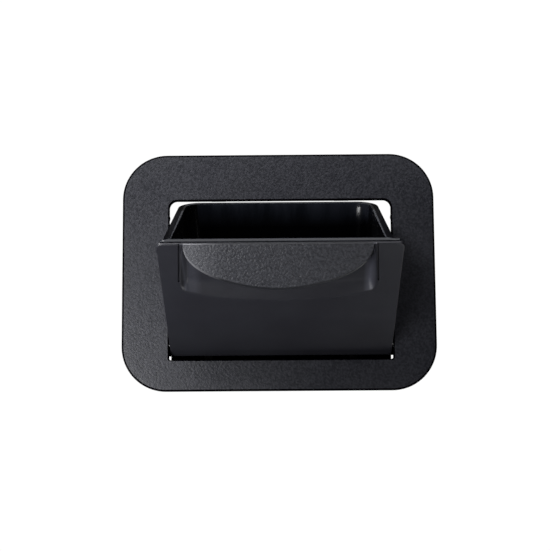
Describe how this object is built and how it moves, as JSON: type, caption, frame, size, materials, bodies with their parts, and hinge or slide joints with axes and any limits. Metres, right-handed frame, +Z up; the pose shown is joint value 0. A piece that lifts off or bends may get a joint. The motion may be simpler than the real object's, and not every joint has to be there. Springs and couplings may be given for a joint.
{
  "type": "recessed tilt-out waste bin",
  "caption": "Wall-recessed waste bin: a rounded rectangular face plate whose front panel tilts out on a lower hinge, carrying an open tub and a recessed finger pull.",
  "frame": {"origin": "centre of the wall cut-out, in the wall's outer plane", "axes": "+X to the right for someone facing the bin, +Y into the wall, +Z up"},
  "size_m": [0.3, 0.188, 0.228],
  "materials": {
    "trim_bezel": "fine spark grain, black",
    "mounting_frame": "plain moulded black",
    "wall_gasket": "closed-cell foam, dark grey",
    "mount_screw_1": "zinc plated",
    "mount_screw_2": "zinc plated",
    "mount_screw_3": "zinc plated",
    "mount_screw_4": "zinc plated",
    "mount_screw_5": "zinc plated",
    "mount_screw_6": "zinc plated",
    "hinge_bush_left": "natural nylon",
    "hinge_bush_right": "natural nylon",
    "stop_bumper_left": "soft black rubber",
    "stop_bumper_right": "soft black rubber",
    "front_panel": "smooth satin black",
    "grip_lip": "fine spark grain, black",
    "bin_tub": "polished black",
    "panel_screw_1": "zinc plated",
    "panel_screw_2": "zinc plated",
    "panel_screw_3": "zinc plated",
    "panel_screw_4": "zinc plated",
    "hinge_pin_left": "ground steel",
    "hinge_pin_right": "ground steel",
    "pin_clip_left": "spring steel",
    "pin_clip_right": "spring steel"
  },
  "bodies": {
    "frame": {"trim_bezel": "trim_bezel", "mounting_frame": "mounting_frame", "wall_gasket": "wall_gasket", "mount_screw_1": "mount_screw_1", "mount_screw_2": "mount_screw_2", "mount_screw_3": "mount_screw_3", "mount_screw_4": "mount_screw_4", "mount_screw_5": "mount_screw_5", "mount_screw_6": "mount_screw_6", "hinge_bush_left": "hinge_bush_left", "hinge_bush_right": "hinge_bush_right", "stop_bumper_left": "stop_bumper_left", "stop_bumper_right": "stop_bumper_right"},
    "bin": {"front_panel": "front_panel", "grip_lip": "grip_lip", "bin_tub": "bin_tub", "panel_screw_1": "panel_screw_1", "panel_screw_2": "panel_screw_2", "panel_screw_3": "panel_screw_3", "panel_screw_4": "panel_screw_4", "hinge_pin_left": "hinge_pin_left", "hinge_pin_right": "hinge_pin_right", "pin_clip_left": "pin_clip_left", "pin_clip_right": "pin_clip_right"}
  },
  "joints": [
    {"name": "bin_tilt", "type": "hinge", "parent": "frame", "child": "bin", "pos_m": [0, -0.005, -0.06355], "axis": [1, 0, 0], "range_deg": [-52, 0]}
  ]
}
